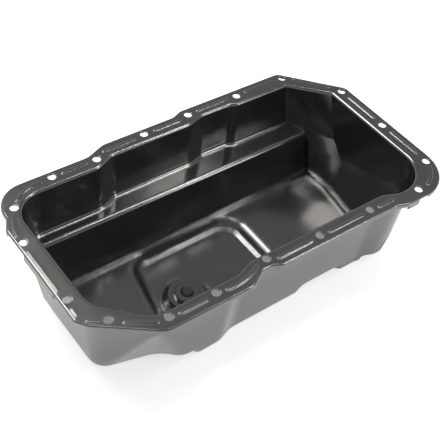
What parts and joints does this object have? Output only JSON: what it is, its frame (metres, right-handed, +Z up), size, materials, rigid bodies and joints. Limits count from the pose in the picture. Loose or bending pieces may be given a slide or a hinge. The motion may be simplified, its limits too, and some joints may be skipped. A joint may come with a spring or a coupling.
{
  "type": "engine oil pan",
  "caption": "Deep-drawn sheet steel engine oil pan with a gasket flange, a shelf, a deep well and a drain plug in its floor.",
  "frame": {"origin": "centre of the pan's outline seen from above, at the underside of the deep well's floor", "axes": "+X runs along the engine's crankshaft line, +Y across it towards the side with the windage shelf, +Z up towards the engine block"},
  "size_m": [0.448, 0.246, 0.1208],
  "materials": {
    "black_paint": "semi-gloss black stoving paint",
    "boss_paint": "semi-gloss black stoving paint",
    "zinc_steel": "zinc plated",
    "washer_metal": "bare"
  },
  "bodies": {
    "root": {"oil_pan_body": "black_paint", "drain_boss": "boss_paint", "drain_plug": "zinc_steel", "drain_washer": "washer_metal"}
  },
  "joints": []
}
